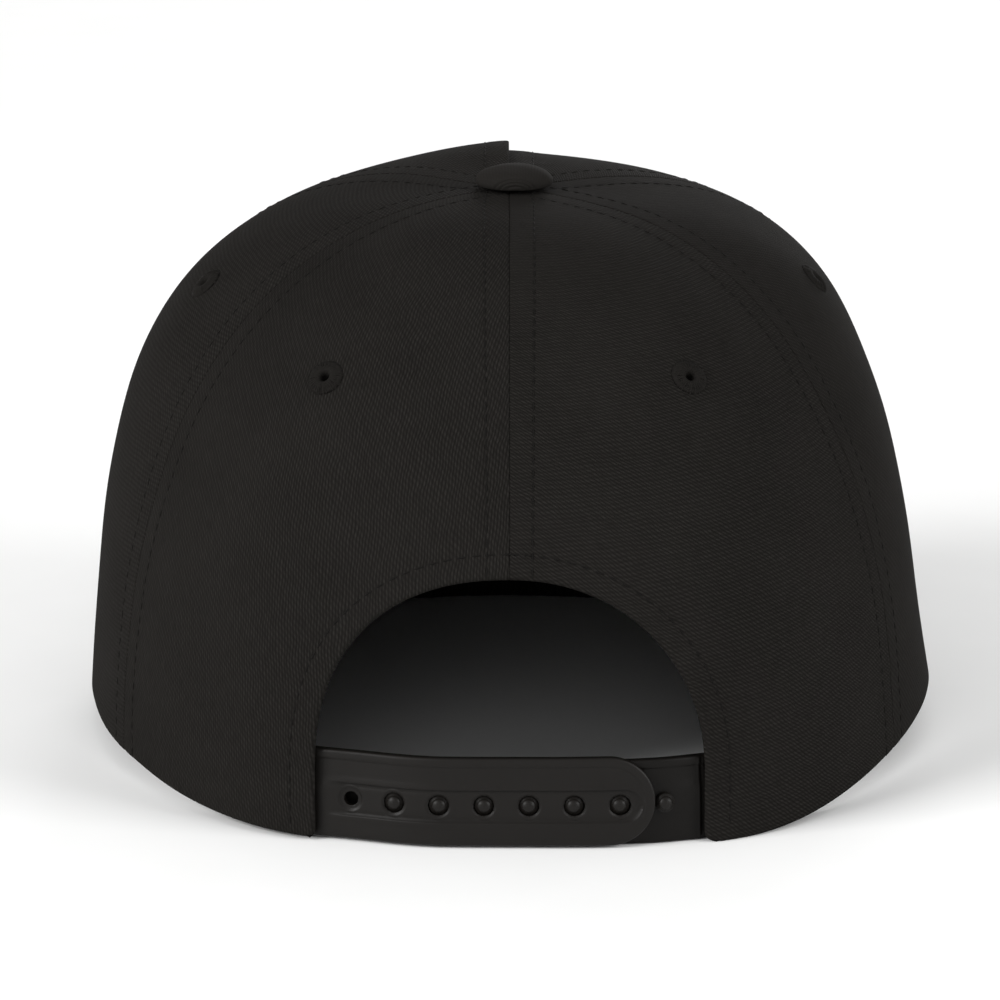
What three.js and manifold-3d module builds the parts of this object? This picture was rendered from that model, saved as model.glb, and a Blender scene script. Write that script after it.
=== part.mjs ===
import * as THREE from 'three';
import { mergeVertices } from 'three/addons/utils/BufferGeometryUtils.js';
import Module from 'manifold-3d';

// A six-panel flat bill cap standing on its rim and bill, in millimetres and degrees, +Z up.
// The back with its strap faces -Y, the bill points to +Y, and the wearer's left is -X.
// Azimuth turns about the button's axis from the back (0) through +X (90) to the front (180).

const GAP = 0.3;             // between neighbouring pieces
const CLOTH = 2;             // crown wall: twill, backing and seam tape

// Crown
const CROWN_HEIGHT = 119;    // seat of the button above the surface that the cap stands on
const PANEL_ANGLE = 60;
const PANEL_COLUMNS = 10;
const PANEL_ROWS = 14;
const ROW_CROWDING = 0.55;   // rows lie closer together towards the rim and the button
const FRONT_STEP = { rise: 2.2, spread: 28 };   // left front panel stands over the right one at their seam
const SEAT_SHARE = 0.17;     // share of the radius that stays level under the button

// Upright sections through the crown, evenly spaced in azimuth: radius and height of the rim,
// fullness of the wall and of the top, rise of the crest on the way to the button, and how far
// the wall is drawn in at half height.
const SECTIONS = [
  { azimuth: 0, radius: 97.5, rim: 0.5, wall: 2.6, top: 2.2, crest: 0, waist: 0 },
  { azimuth: 30, radius: 102.5, rim: 0, wall: 2.5, top: 2.2, crest: 0, waist: 1 },
  { azimuth: 60, radius: 95.5, rim: 5.5, wall: 2.4, top: 2.5, crest: 0, waist: 2 },
  { azimuth: 90, radius: 93.8, rim: 9.5, wall: 2.3, top: 4.2, crest: 0.2, waist: 6 },
  { azimuth: 120, radius: 93, rim: 4.5, wall: 2.7, top: 4.5, crest: 1, waist: 3.5 },
  { azimuth: 150, radius: 93, rim: 3.7, wall: 2.9, top: 3.2, crest: 2.8, waist: 0.5 },
  { azimuth: 180, radius: 93, rim: 3.7, wall: 3, top: 3, crest: 3.2, waist: 0 },
  { azimuth: 210, radius: 93, rim: 3.7, wall: 2.9, top: 3.2, crest: 3.2, waist: 0 },
  { azimuth: 240, radius: 93, rim: 4.3, wall: 2.7, top: 3.8, crest: 1.7, waist: 1 },
  { azimuth: 270, radius: 93, rim: 7.5, wall: 2.4, top: 3.7, crest: 0.3, waist: 3 },
  { azimuth: 300, radius: 95.5, rim: 5, wall: 2.4, top: 2.4, crest: 0, waist: 0.5 },
  { azimuth: 330, radius: 101.5, rim: 1, wall: 2.5, top: 2.2, crest: 0, waist: 0 },
];

// Hollows pressed into the standing crown: centre, how far they spread round and up, and depth.
const DENTS = [
  { azimuth: 95, height: 88, spread: 36, tall: 26, depth: 3 },
];

// Stitched air holes, one to a panel; climb is 0 at the rim and 90 at the button.
const EYELETS = [
  { panel: 'rear_left', azimuth: 328.4, climb: 48.2 },
  { panel: 'rear_right', azimuth: 30.9, climb: 48.5 },
  { panel: 'side_left', azimuth: 278.3, climb: 46.5 },
  { panel: 'side_right', azimuth: 87.3, climb: 42 },
  { panel: 'front_left', azimuth: 210, climb: 46 },
  { panel: 'front_right', azimuth: 150, climb: 46 },
];
const EYELET = { radius: 4.1, collar: 1.9, bore: 1.1, proud: 0.8, round: 0.5 };
const EYELET_SIDES = 14;

// Opening above the strap: two uprights under a rounded arch, a little fuller on the left.
const ARCH = { halfWidth: 40.6, upright: 14, top: 55.5, fullLeft: 2.35, fullRight: 2.1, steps: 10 };

// Button: a covered dome on a shank that is closed over a disc inside the crown.
const BUTTON = { radius: 8.4, rise: 4.6, skirt: 0.9, round: 0.5, seat: 0.7, shank: 1.5 };
const DISC = { radius: 5, thickness: 0.9, clearance: 0.4 };
const BUTTON_SIDES = 24;

// Bill: a flat stiff board covered with twill, its back edge under the crown's front wall.
const BILL = { halfWidth: 94, reach: 165, thickness: 3.4, edge: 1, endAzimuth: 118, fullness: 2.5 };
const BILL_SIDE = { shoulder: 96, flare: 26 };      // where the bill is widest, and how far back it bends in

// Sweatband: a folded strip inside the rim, open at the strap.
const BAND = { top: 32, thickness: 1.4, end: 25.5, columns: 52, rows: 3 };
const BAND_EASE = { from: 34, to: 42 };     // beside the opening it passes inside the strap ends

// Snap strap: two plastic tongues that overlap, the outer one with holes and the inner with pegs.
const STRAP = { thickness: 1.8, tip: 9.2, sewnEnd: 32 };
const HOLE_TONGUE = { bottom: 0.6, height: 18.7 };
const PEG_TONGUE = { bottom: 0.2, height: 17.8 };
const SNAP = { pitch: 9.35, first: -19.65, count: 7, height: 9.1, hole: 2.05 };
const PEG = { radius: 1.65, rise: 2.2, dome: 0.7 };
const PAST_LAST = { hole: 7, peg: 12.9, track: 4.2 };   // from the last snap to each round end
const TRACK = { start: -22.3, height: 6.7, depth: 0.4 };
const TUCK = { inset: CLOTH + GAP + 0.2, left: [-8, -21], right: [18, 24] };    // ends inside the crown wall
const HOLE_SIDES = 14;

const rad = THREE.MathUtils.degToRad;
const deg = THREE.MathUtils.radToDeg;
const smooth = THREE.MathUtils.smoothstep;
const turn = (angle) => THREE.MathUtils.euclideanModulo(angle + 180, 360) - 180;

const wasm = await Module();
wasm.setup();

function toSolid(geometry) {
  const bare = geometry.clone();
  bare.deleteAttribute('normal');
  bare.deleteAttribute('uv');
  const merged = mergeVertices(bare, 1e-4);
  return new wasm.Manifold(new wasm.Mesh({
    numProp: 3,
    vertProperties: merged.getAttribute('position').array,
    triVerts: Uint32Array.from(merged.index.array),
  }));
}

function toGeometry(solid) {
  const mesh = solid.getMesh();
  const geometry = new THREE.BufferGeometry();
  geometry.setAttribute('position', new THREE.BufferAttribute(mesh.vertProperties, 3));
  geometry.setIndex(new THREE.BufferAttribute(mesh.triVerts, 1));
  geometry.computeVertexNormals();
  return geometry;
}

// Section of the crown at any azimuth, smoothly between the rows of the table.
function section(azimuth) {
  const place = THREE.MathUtils.euclideanModulo(azimuth, 360) / (360 / SECTIONS.length);
  const row = Math.floor(place);
  const t = place - row;
  const [before, here, next, after] = [-1, 0, 1, 2].map((k) => SECTIONS.at((row + k) % SECTIONS.length));
  const between = (key) => 0.5 * (2 * here[key] + (next[key] - before[key]) * t
    + (2 * before[key] - 5 * here[key] + 4 * next[key] - after[key]) * t ** 2
    + (3 * here[key] - before[key] - 3 * next[key] + after[key]) * t ** 3);
  const columns = ['radius', 'rim', 'wall', 'top', 'crest', 'waist'];
  return Object.fromEntries(columns.map((key) => [key, between(key)]));
}

// Point on the crown's outer face. A left panel carries the step beside the front seam.
function crownPoint(azimuth, climb, left = false) {
  const s = section(azimuth);
  const across = Math.cos(rad(climb)) ** (2 / s.wall);
  const up = Math.sin(rad(climb)) ** (2 / s.top);
  const swell = Math.sin(Math.PI * across ** 0.8) ** 2 * (1 - Math.exp(-((across / SEAT_SHARE) ** 2)));
  const fromFront = turn(azimuth - 180) / FRONT_STEP.spread;
  const step = left ? FRONT_STEP.rise * Math.exp(-(fromFront ** 2)) : 0;
  const height = s.rim + (CROWN_HEIGHT - s.rim) * up + (s.crest + step) * swell;
  let radius = s.radius * across - s.waist * Math.sin(Math.PI * up);
  for (const dent of DENTS) {
    const beside = turn(azimuth - dent.azimuth) / dent.spread;
    const above = (height - dent.height) / dent.tall;
    radius -= dent.depth * Math.exp(-(beside ** 2) - above ** 2) * Math.min(1, radius / 20);
  }
  return new THREE.Vector3(radius * Math.sin(rad(azimuth)), -radius * Math.cos(rad(azimuth)), height);
}

function crownNormal(azimuth, climb, left = false) {
  const low = Math.max(climb - 1, 0.01);
  const high = Math.min(climb + 1, 89.9);
  const around = crownPoint(azimuth + 1, climb, left).sub(crownPoint(azimuth - 1, climb, left));
  const upward = crownPoint(azimuth, high, left).sub(crownPoint(azimuth, low, left));
  return around.cross(upward).normalize();
}

// Radius of the crown's outer face at a height on its wall.
function crownRadius(azimuth, height) {
  const s = section(azimuth);
  const up = THREE.MathUtils.clamp((height - s.rim) / (CROWN_HEIGHT - s.rim), 0, 1);
  const point = crownPoint(azimuth, deg(Math.asin(up ** (s.top / 2))));
  return Math.hypot(point.x, point.y);
}

function polar(azimuth, radius, height) {
  return new THREE.Vector3(radius * Math.sin(rad(azimuth)), -radius * Math.cos(rad(azimuth)), height);
}

// Closed wall between an outer and an inner face, both given over u round the axis and v upwards.
function wallGeometry(columns, rows, outer, inner) {
  const positions = [];
  const index = [];
  for (const face of [outer, inner]) {
    for (let i = 0; i <= columns; i++) {
      for (let j = 0; j <= rows; j++) positions.push(...face(i / columns, j / rows).toArray());
    }
  }
  const layer = (columns + 1) * (rows + 1);
  const out = (i, j) => i * (rows + 1) + j;
  const inn = (i, j) => layer + out(i, j);
  const quad = (a, b, c, d) => index.push(a, b, c, a, c, d);
  for (let i = 0; i < columns; i++) {
    for (let j = 0; j < rows; j++) {
      quad(out(i, j), out(i + 1, j), out(i + 1, j + 1), out(i, j + 1));
      quad(inn(i, j), inn(i, j + 1), inn(i + 1, j + 1), inn(i + 1, j));
    }
    quad(inn(i, 0), inn(i + 1, 0), out(i + 1, 0), out(i, 0));
    quad(out(i, rows), out(i + 1, rows), inn(i + 1, rows), inn(i, rows));
  }
  for (let j = 0; j < rows; j++) {
    quad(inn(0, j), out(0, j), out(0, j + 1), inn(0, j + 1));
    quad(out(columns, j), inn(columns, j), inn(columns, j + 1), out(columns, j + 1));
  }
  const geometry = new THREE.BufferGeometry();
  geometry.setAttribute('position', new THREE.Float32BufferAttribute(positions, 3));
  geometry.setIndex(index);
  geometry.computeVertexNormals();
  return geometry;
}

// Turns +Z to the crown's normal at an air hole and moves it onto the outer face.
function eyeletPlace({ azimuth, climb, panel }) {
  const left = panel.endsWith('left');
  const facing = new THREE.Quaternion().setFromUnitVectors(
    new THREE.Vector3(0, 0, 1), crownNormal(azimuth, climb, left));
  return new THREE.Matrix4().compose(crownPoint(azimuth, climb, left), facing, new THREE.Vector3(1, 1, 1));
}

function panelGeometry(name, start) {
  const left = name.endsWith('left');
  const spot = (u, v) => {
    const middle = start + PANEL_ANGLE * u;
    const { radius, wall } = section(middle);
    const hole = BUTTON.shank + GAP;
    const row = v - ROW_CROWDING * Math.sin(2 * Math.PI * v) / (2 * Math.PI);
    const climb = row * deg(Math.acos((hole / radius) ** (wall / 2)));
    const edge = crownPoint(middle, climb, left);
    const halfSeam = deg(Math.asin(GAP / 2 / Math.hypot(edge.x, edge.y)));
    return [middle + halfSeam * (1 - 2 * u), climb, left];
  };
  const outer = (u, v) => crownPoint(...spot(u, v));
  const inner = (u, v) => outer(u, v).addScaledVector(crownNormal(...spot(u, v)), -CLOTH);
  let solid = toSolid(wallGeometry(PANEL_COLUMNS, PANEL_ROWS, outer, inner));

  const bore = new THREE.CylinderGeometry(EYELET.collar + GAP, EYELET.collar + GAP, 4 * CLOTH, EYELET_SIDES);
  bore.rotateX(Math.PI / 2).applyMatrix4(eyeletPlace(EYELETS.find((eyelet) => eyelet.panel === name)));
  solid = solid.subtract(toSolid(bore));
  if (name.startsWith('rear')) solid = solid.subtract(toSolid(archGeometry()));
  return toGeometry(solid);
}

function archGeometry() {
  const below = -10;
  const near = 60;
  const far = 140;
  const outline = new THREE.Shape().moveTo(ARCH.halfWidth, below);
  for (let k = 0; k <= 2 * ARCH.steps; k++) {
    const angle = (Math.PI / 2) * (k / ARCH.steps);
    const power = 2 / (k > ARCH.steps ? ARCH.fullLeft : ARCH.fullRight);
    const side = k > ARCH.steps ? -1 : 1;
    outline.lineTo(
      side * ARCH.halfWidth * Math.abs(Math.cos(angle)) ** power,
      ARCH.upright + (ARCH.top - ARCH.upright) * Math.abs(Math.sin(angle)) ** power);
  }
  outline.lineTo(-ARCH.halfWidth, below);
  const geometry = new THREE.ExtrudeGeometry(outline, { depth: far - near, bevelEnabled: false });
  return geometry.rotateX(Math.PI / 2).translate(0, -near, 0);
}

function eyeletGeometry() {
  const { radius, collar, bore, proud, round } = EYELET;
  const profile = [
    [bore, -CLOTH], [collar, -CLOTH], [collar, GAP], [radius - round / 2, GAP], [radius, GAP + round / 2],
    [radius - round, proud], [bore + round, proud], [bore, proud - round / 2], [bore, -CLOTH],
  ];
  const points = profile.map(([x, y]) => new THREE.Vector2(x, y));
  return new THREE.LatheGeometry(points, EYELET_SIDES).rotateX(Math.PI / 2);
}

function buttonGeometry() {
  const { radius, rise, skirt, round, seat, shank } = BUTTON;
  const discTop = -CLOTH - DISC.clearance;
  const discBottom = discTop - DISC.thickness;
  const points = [
    [0, discBottom], [DISC.radius, discBottom], [DISC.radius, discTop], [shank, discTop],
    [shank, seat], [radius - round, seat], [radius, seat + round],
  ].map(([x, y]) => new THREE.Vector2(x, y));
  const arcSteps = 6;
  for (let k = 0; k < arcSteps; k++) {
    const angle = (Math.PI / 2) * (k / arcSteps);
    points.push(new THREE.Vector2(radius * Math.cos(angle), seat + skirt + (rise - skirt) * Math.sin(angle)));
  }
  points.push(new THREE.Vector2(0, seat + rise));
  return new THREE.LatheGeometry(points, BUTTON_SIDES).rotateX(Math.PI / 2).translate(0, 0, CROWN_HEIGHT);
}

function billGeometry() {
  const { halfWidth, reach, thickness, edge, endAzimuth, fullness } = BILL;
  const { shoulder, flare } = BILL_SIDE;
  const backEdge = (azimuth) => polar(azimuth, section(azimuth).radius - CLOTH, 0);
  const rightEnd = backEdge(endAzimuth);
  const outline = new THREE.Shape().moveTo(rightEnd.x, rightEnd.y);
  const frontSteps = 24;
  const sideSteps = 5;
  const side = new THREE.QuadraticBezierCurve(
    new THREE.Vector2(rightEnd.x, rightEnd.y), new THREE.Vector2(halfWidth, shoulder - flare),
    new THREE.Vector2(halfWidth, shoulder)).getPoints(sideSteps);
  side.slice(1).forEach((point) => outline.lineTo(point.x, point.y));
  for (let k = 1; k < frontSteps; k++) {
    const angle = Math.PI * (k / frontSteps);
    outline.lineTo(
      Math.sign(Math.cos(angle)) * halfWidth * Math.abs(Math.cos(angle)) ** (2 / fullness),
      shoulder + (reach - shoulder) * Math.sin(angle) ** (2 / fullness));
  }
  side.toReversed().forEach((point) => outline.lineTo(-point.x, point.y));
  const backSteps = 28;
  for (let k = 1; k < backSteps; k++) {
    const point = backEdge(360 - endAzimuth - (360 - 2 * endAzimuth) * (k / backSteps));
    outline.lineTo(point.x, point.y);
  }
  return new THREE.ExtrudeGeometry(outline, {
    depth: thickness - 2 * edge, bevelThickness: edge, bevelSize: edge, bevelOffset: -edge, bevelSegments: 2,
  }).translate(0, 0, edge);
}

function sweatbandGeometry() {
  const strapRoom = TUCK.inset - CLOTH + STRAP.thickness;
  const face = (behind) => (u, v) => {
    const azimuth = BAND.end + (360 - 2 * BAND.end) * u;
    const bottom = section(azimuth).rim + GAP;
    const height = bottom + (BAND.top - bottom) * v;
    const ease = 1 - smooth(Math.abs(turn(azimuth)), BAND_EASE.from, BAND_EASE.to);
    return polar(azimuth, crownRadius(azimuth, height) - CLOTH - GAP - strapRoom * ease - behind, height);
  };
  return wallGeometry(BAND.columns, BAND.rows, face(0), face(BAND.thickness));
}

// Point at a depth behind the outer tongue's face. That face lies flush with the crown at the middle
// and goes inside its wall on the left, where the tongue is sewn in.
function strapPoint(azimuth, height, depth) {
  const inset = TUCK.inset * smooth(-azimuth, -TUCK.left[0], -TUCK.left[1]);
  return polar(azimuth, crownRadius(azimuth, height) - inset - depth, height);
}

const strapAngle = (length) => deg(length / section(0).radius);
const snapAzimuth = (k) => SNAP.first + k * strapAngle(SNAP.pitch);

// Tongue along the strap's path; its round tip points to +azimuth when tipSide is 1, to -azimuth when -1.
function tongueGeometry({ sewn, tip, tipSide, bottom, height, depth, thickness }) {
  const columns = 22;
  const tipShare = 0.3;
  const bluntness = rad(84);
  const tipLength = Math.min(STRAP.tip, height / 2);
  const tipStart = tip - tipSide * strapAngle(tipLength);
  const outline = (u) => {
    const along = tipSide > 0 ? u : 1 - u;
    if (along <= 1 - tipShare) {
      return { azimuth: sewn + (tipStart - sewn) * along / (1 - tipShare), half: height / 2 };
    }
    const angle = bluntness * (along - 1 + tipShare) / tipShare;
    return { azimuth: tipStart + (tip - tipStart) * Math.sin(angle), half: height / 2 * Math.cos(angle) };
  };
  const face = (behind) => (u, v) => {
    const { azimuth, half } = outline(u);
    return strapPoint(azimuth, bottom + height / 2 + half * (2 * v - 1), depth(azimuth) + behind);
  };
  return wallGeometry(columns, 2, face(0), face(thickness));
}

// Turns +Z outwards across the strap at a snap and moves it onto the strap's path.
function snapPlace(k, depth) {
  const azimuth = snapAzimuth(k);
  const point = strapPoint(azimuth, SNAP.height, depth);
  const around = strapPoint(azimuth + 1, SNAP.height, depth).sub(strapPoint(azimuth - 1, SNAP.height, depth));
  const facing = new THREE.Quaternion().setFromUnitVectors(
    new THREE.Vector3(0, 0, 1), around.cross(new THREE.Vector3(0, 0, 1)).normalize());
  return new THREE.Matrix4().compose(point, facing, new THREE.Vector3(1, 1, 1));
}

function holeStrapGeometry() {
  let solid = toSolid(tongueGeometry({
    sewn: -STRAP.sewnEnd, tip: snapAzimuth(SNAP.count - 1) + strapAngle(PAST_LAST.hole), tipSide: 1,
    ...HOLE_TONGUE, depth: () => 0, thickness: STRAP.thickness,
  }));
  solid = solid.subtract(toSolid(tongueGeometry({
    sewn: TRACK.start, tip: snapAzimuth(SNAP.count - 1) + strapAngle(PAST_LAST.track), tipSide: 1,
    bottom: SNAP.height - TRACK.height / 2, height: TRACK.height,
    depth: () => -TRACK.depth, thickness: 2 * TRACK.depth,
  })));
  for (let k = 0; k < SNAP.count; k++) {
    const hole = new THREE.CylinderGeometry(SNAP.hole, SNAP.hole, 4 * STRAP.thickness, HOLE_SIDES);
    solid = solid.subtract(toSolid(hole.rotateX(Math.PI / 2).applyMatrix4(snapPlace(k, 0))));
  }
  return toGeometry(solid);
}

// The round end of this tongue lies behind the outer one's first hole, which no peg fills.
function pegStrapGeometry() {
  const behind = STRAP.thickness + GAP;
  const depth = (azimuth) => behind + (TUCK.inset - behind) * smooth(azimuth, ...TUCK.right);
  let solid = toSolid(tongueGeometry({
    sewn: STRAP.sewnEnd, tip: snapAzimuth(1) - strapAngle(PAST_LAST.peg), tipSide: -1,
    ...PEG_TONGUE, depth, thickness: STRAP.thickness,
  }));
  const root = -STRAP.thickness / 2;
  const profile = [
    [0, root], [PEG.radius, root], [PEG.radius, PEG.rise - PEG.dome],
    [PEG.radius * Math.cos(Math.PI / 4), PEG.rise - PEG.dome * (1 - Math.sin(Math.PI / 4))], [0, PEG.rise],
  ].map(([x, y]) => new THREE.Vector2(x, y));
  for (let k = 1; k <= SNAP.count; k++) {
    const peg = new THREE.LatheGeometry(profile, HOLE_SIDES).rotateX(Math.PI / 2);
    solid = solid.add(toSolid(peg.applyMatrix4(snapPlace(k, behind))));
  }
  return toGeometry(solid);
}

const TWILL = { color: 0x282725, roughness: 0.9, metalness: 0 };
const THREAD = { color: 0x22211f, roughness: 0.8, metalness: 0 };
const PLASTIC = { color: 0x2a2a29, roughness: 0.42, metalness: 0 };

const cap = new THREE.Group();

function addPiece(name, geometry, finish) {
  const mesh = new THREE.Mesh(geometry, new THREE.MeshStandardMaterial(finish));
  mesh.name = name;
  cap.add(mesh);
  return mesh;
}

['rear_right', 'side_right', 'front_right', 'front_left', 'side_left', 'rear_left'].forEach((side, k) => {
  addPiece(`panel_${side}`, panelGeometry(side, k * PANEL_ANGLE), TWILL);
});
for (const eyelet of EYELETS) {
  addPiece(`eyelet_${eyelet.panel}`, eyeletGeometry(), THREAD).applyMatrix4(eyeletPlace(eyelet));
}
addPiece('button', buttonGeometry(), TWILL);
addPiece('bill', billGeometry(), TWILL);
addPiece('sweatband', sweatbandGeometry(), TWILL);
addPiece('strap_holes', holeStrapGeometry(), PLASTIC);
addPiece('strap_pegs', pegStrapGeometry(), PLASTIC);

// The origin lies on the standing surface, under the middle of the cap's length and width.
const middle = new THREE.Box3().setFromObject(cap, true).getCenter(new THREE.Vector3());
cap.position.set(-middle.x, -middle.y, 0);

export default cap;
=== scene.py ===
import math

import bpy
import numpy as np
from mathutils import Matrix, Vector
from mathutils.geometry import delaunay_2d_cdt


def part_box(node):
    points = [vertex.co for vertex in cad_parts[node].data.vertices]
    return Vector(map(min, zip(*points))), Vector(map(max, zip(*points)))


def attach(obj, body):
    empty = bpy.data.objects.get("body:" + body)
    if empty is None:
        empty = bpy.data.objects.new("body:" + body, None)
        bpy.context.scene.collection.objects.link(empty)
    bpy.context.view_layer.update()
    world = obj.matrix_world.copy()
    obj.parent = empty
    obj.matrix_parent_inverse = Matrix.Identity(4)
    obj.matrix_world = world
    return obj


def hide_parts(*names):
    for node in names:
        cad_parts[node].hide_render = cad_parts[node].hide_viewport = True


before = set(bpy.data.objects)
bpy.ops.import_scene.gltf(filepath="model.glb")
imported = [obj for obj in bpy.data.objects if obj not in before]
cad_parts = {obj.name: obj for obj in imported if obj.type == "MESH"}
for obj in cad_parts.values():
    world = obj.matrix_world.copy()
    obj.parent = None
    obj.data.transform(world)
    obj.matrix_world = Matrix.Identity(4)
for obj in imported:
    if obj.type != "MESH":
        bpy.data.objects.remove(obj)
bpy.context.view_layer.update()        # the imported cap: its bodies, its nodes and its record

# Crown panels
# Six gores of black cotton twill over a firm backing, cut flat, sewn edge to edge and pressed
# over a form. The two at the back are cut away and hemmed round the opening over the strap.
# All sizes are in millimetres and degrees from the button's axis, azimuth 0 at the back.
MM = 0.001
button_low, button_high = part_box("button")
AXIS = Vector(((button_low.x + button_high.x) / 2, (button_low.y + button_high.y) / 2, 0))
CENTRE = np.array(AXIS) / MM
CLOTH = 2.0                  # twill, backing and seam tape together
CROWN_HEIGHT = 119.0
BUTTON_HOLE = 1.8            # the tips of the panels leave this radius open for the shank
SEAT_SHARE = 0.17
FRONT_STEP = {"rise": 2.2, "spread": 28.0}
DENT = {"azimuth": 95.0, "height": 88.0, "spread": 36.0, "tall": 26.0, "depth": 3.0}
SECTION_COLUMNS = ("radius", "rim", "wall", "top", "crest", "waist")
SECTIONS = np.array([        # a row every 30 degrees of azimuth
    (97.5, 0.5, 2.6, 2.2, 0.0, 0.0),
    (102.5, 0.0, 2.5, 2.2, 0.0, 1.0),
    (95.5, 5.5, 2.4, 2.5, 0.0, 2.0),
    (93.8, 9.5, 2.3, 4.2, 0.2, 6.0),
    (93.0, 4.5, 2.7, 4.5, 1.0, 3.5),
    (93.0, 3.7, 2.9, 3.2, 2.8, 0.5),
    (93.0, 3.7, 3.0, 3.0, 3.2, 0.0),
    (93.0, 3.7, 2.9, 3.2, 3.2, 0.0),
    (93.0, 4.3, 2.7, 3.8, 1.7, 1.0),
    (93.0, 7.5, 2.4, 3.7, 0.3, 3.0),
    (95.5, 5.0, 2.4, 2.4, 0.0, 0.5),
    (101.5, 1.0, 2.5, 2.2, 0.0, 0.0),
])


def smooth(value, start, end):
    """0 before start, 1 after end, and a soft rise or fall between them."""
    share = np.clip((value - start) / (end - start), 0, 1)
    return share * share * (3 - 2 * share)


def ridge(gap, width):
    """1 on a line and soon nothing beside it."""
    return np.exp(-(gap / width) ** 2)


def turned(angle):
    """The angle brought between -180 and 180."""
    return np.mod(angle + 180, 360) - 180


def round_axis(azimuth, radius, height):
    """Points at an azimuth, a radius from the button's axis and a height."""
    angle = np.radians(azimuth)
    return np.stack(np.broadcast_arrays(radius * np.sin(angle), -radius * np.cos(angle), height), axis=-1)


def crown_section(azimuth):
    """The six numbers of the section at any azimuth, smoothly between the table's rows."""
    place = np.mod(azimuth, 360) / 30
    row = np.floor(place).astype(int)
    t = (place - row)[..., None]
    before, here, after, last = (SECTIONS[(row + k) % 12] for k in (-1, 0, 1, 2))
    between = 0.5 * (2 * here + (after - before) * t
                     + (2 * before - 5 * here + 4 * after - last) * t ** 2
                     + (3 * here - before - 3 * after + last) * t ** 3)
    return dict(zip(SECTION_COLUMNS, np.moveaxis(between, -1, 0)))


def on_section(azimuth, across, up, left):
    """Point on the crown's outer face, a share across and up its section."""
    s = crown_section(azimuth)
    swell = np.sin(np.pi * across ** 0.8) ** 2 * (1 - ridge(across, SEAT_SHARE))
    step = FRONT_STEP["rise"] * ridge(turned(azimuth - 180), FRONT_STEP["spread"]) if left else 0
    height = s["rim"] + (CROWN_HEIGHT - s["rim"]) * up + (s["crest"] + step) * swell
    radius = s["radius"] * across - s["waist"] * np.sin(np.pi * up)
    beside = turned(azimuth - DENT["azimuth"]) / DENT["spread"]
    above = (height - DENT["height"]) / DENT["tall"]
    radius = radius - DENT["depth"] * np.exp(-beside ** 2 - above ** 2) * np.minimum(1, radius / 20)
    return round_axis(azimuth, radius, height)


def meridians():
    """Across and up shares at even steps of cloth from rim to button hole, and the whole length."""
    azimuth = np.arange(361.0)[:, None]
    s = crown_section(azimuth)
    last_climb = np.arccos((BUTTON_HOLE / s["radius"]) ** (s["wall"] / 2))
    climb = last_climb * np.sin(np.linspace(0, np.pi / 2, 1500)) ** 3
    across, up = np.cos(climb) ** (2 / s["wall"]), np.sin(climb) ** (2 / s["top"])
    points = on_section(azimuth, across, up, False)
    steps = np.linalg.norm(np.diff(points, axis=1), axis=2)
    run = np.pad(np.cumsum(steps, axis=1), ((0, 0), (1, 0)))
    even = [[np.interp(SHARES * r[-1], r, values) for r, values in zip(run, rows)]
            for rows in (across, up)]
    return np.array(even[0]), np.array(even[1]), run[:, -1]


SHARES = np.linspace(0, 1, 401)
ACROSS, UP, CLOTH_LENGTH = meridians()


def look_up(table, azimuth, share):
    """A value from a table by degree and share of the cloth, between its nearest four."""
    column, row = np.mod(azimuth, 360), np.clip(share, 0, 1) * (len(SHARES) - 1)
    i, j = np.minimum(column.astype(int), 359), np.minimum(row.astype(int), len(SHARES) - 2)
    a, b = column - i, row - j
    return ((1 - a) * ((1 - b) * table[i, j] + b * table[i, j + 1])
            + a * ((1 - b) * table[i + 1, j] + b * table[i + 1, j + 1]))


def crown_at(azimuth, share, left):
    """Point on the outer face, a share of the way along the cloth from rim to button."""
    azimuth, share = np.broadcast_arrays(np.asarray(azimuth, float), np.asarray(share, float))
    return on_section(azimuth, look_up(ACROSS, azimuth, share), look_up(UP, azimuth, share), left)


def crown_facing(azimuth, share, left):
    around = crown_at(azimuth + 0.5, share, left) - crown_at(azimuth - 0.5, share, left)
    upward = crown_at(azimuth, share + 0.004, left) - crown_at(azimuth, share - 0.004, left)
    facing = np.cross(around, upward)
    return facing / np.linalg.norm(facing, axis=-1, keepdims=True)


def up_at(azimuth, height):
    """Share of the way up the section at a height on the crown's wall."""
    rim = crown_section(azimuth)["rim"]
    return np.clip((height - rim) / (CROWN_HEIGHT - rim), 0, 1)


def crown_radius(azimuth, height):
    """Radius of the crown's outer face at a height on its wall."""
    up, s = up_at(azimuth, height), crown_section(azimuth)
    point = on_section(azimuth, (1 - up ** s["top"]) ** (1 / s["wall"]), up, False)
    return np.hypot(point[..., 0], point[..., 1])


def share_of_up(azimuth, up):
    """Share of the way along the cloth at a share up the section."""
    columns = np.mod([np.floor(azimuth), np.floor(azimuth) + 1], 360).astype(int)
    before, after = (np.interp(up, UP[k], SHARES) for k in columns)
    return before + (after - before) * (azimuth - np.floor(azimuth))


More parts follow.
